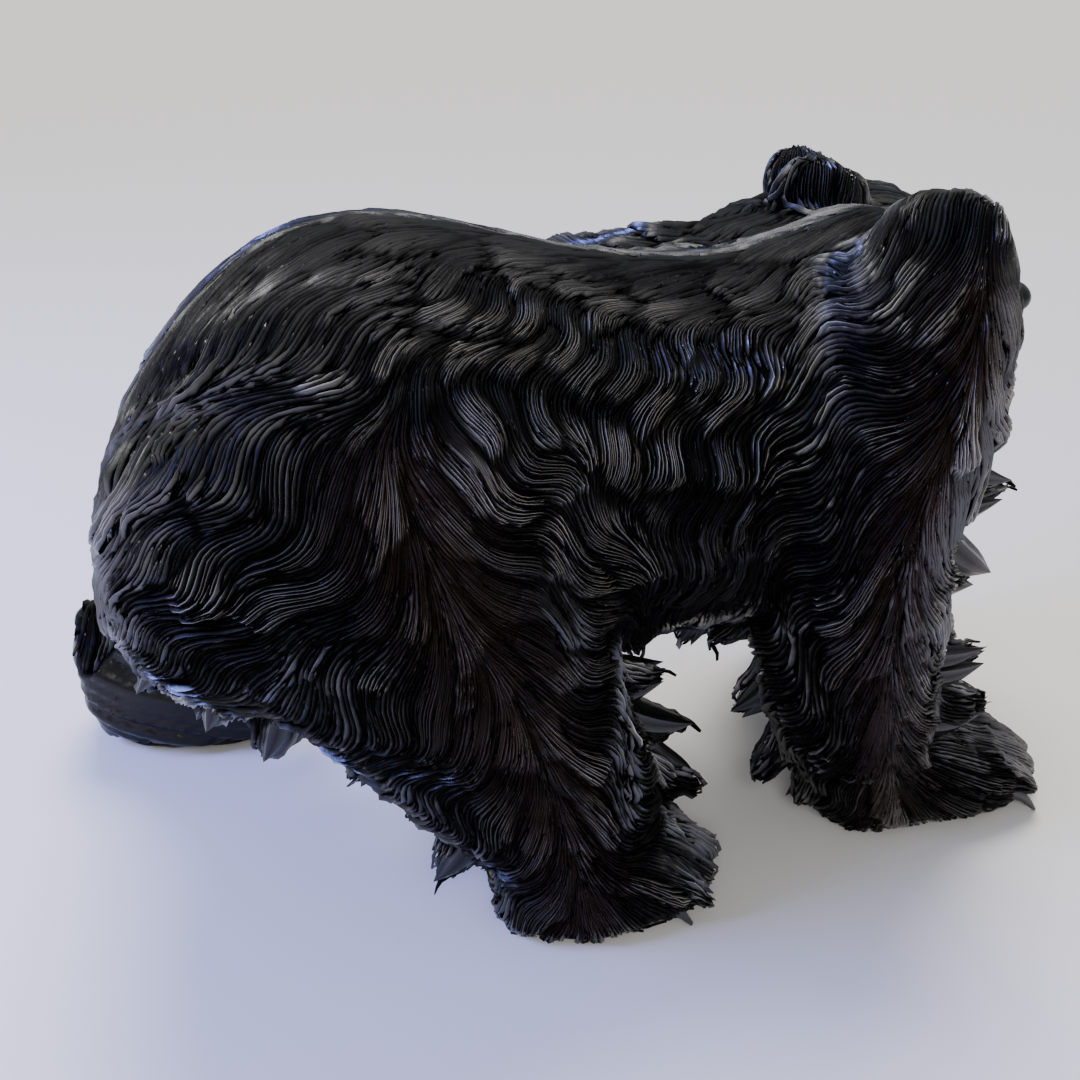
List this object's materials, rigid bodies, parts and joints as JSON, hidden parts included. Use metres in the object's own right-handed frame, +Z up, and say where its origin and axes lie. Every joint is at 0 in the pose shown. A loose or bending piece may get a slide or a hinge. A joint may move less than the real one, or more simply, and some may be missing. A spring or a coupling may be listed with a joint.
{
  "type": "carved wooden bear",
  "caption": "Bear on all fours carved from one block of dark stained wood, fur cut in flowing locks, head held to its left, flat soles to stand on.",
  "frame": {"origin": "middle of the bounding box at the height of the soles, z = 0 on the floor", "axes": "+X the way the bear walks, +Y its left side, +Z up"},
  "size_m": [0.7312, 0.361, 0.4224],
  "materials": {
    "stained_wood": "near-black stain with a satin sheen, thin worn crests"
  },
  "bodies": {
    "root": {"carved_bear": "stained_wood"}
  },
  "joints": []
}
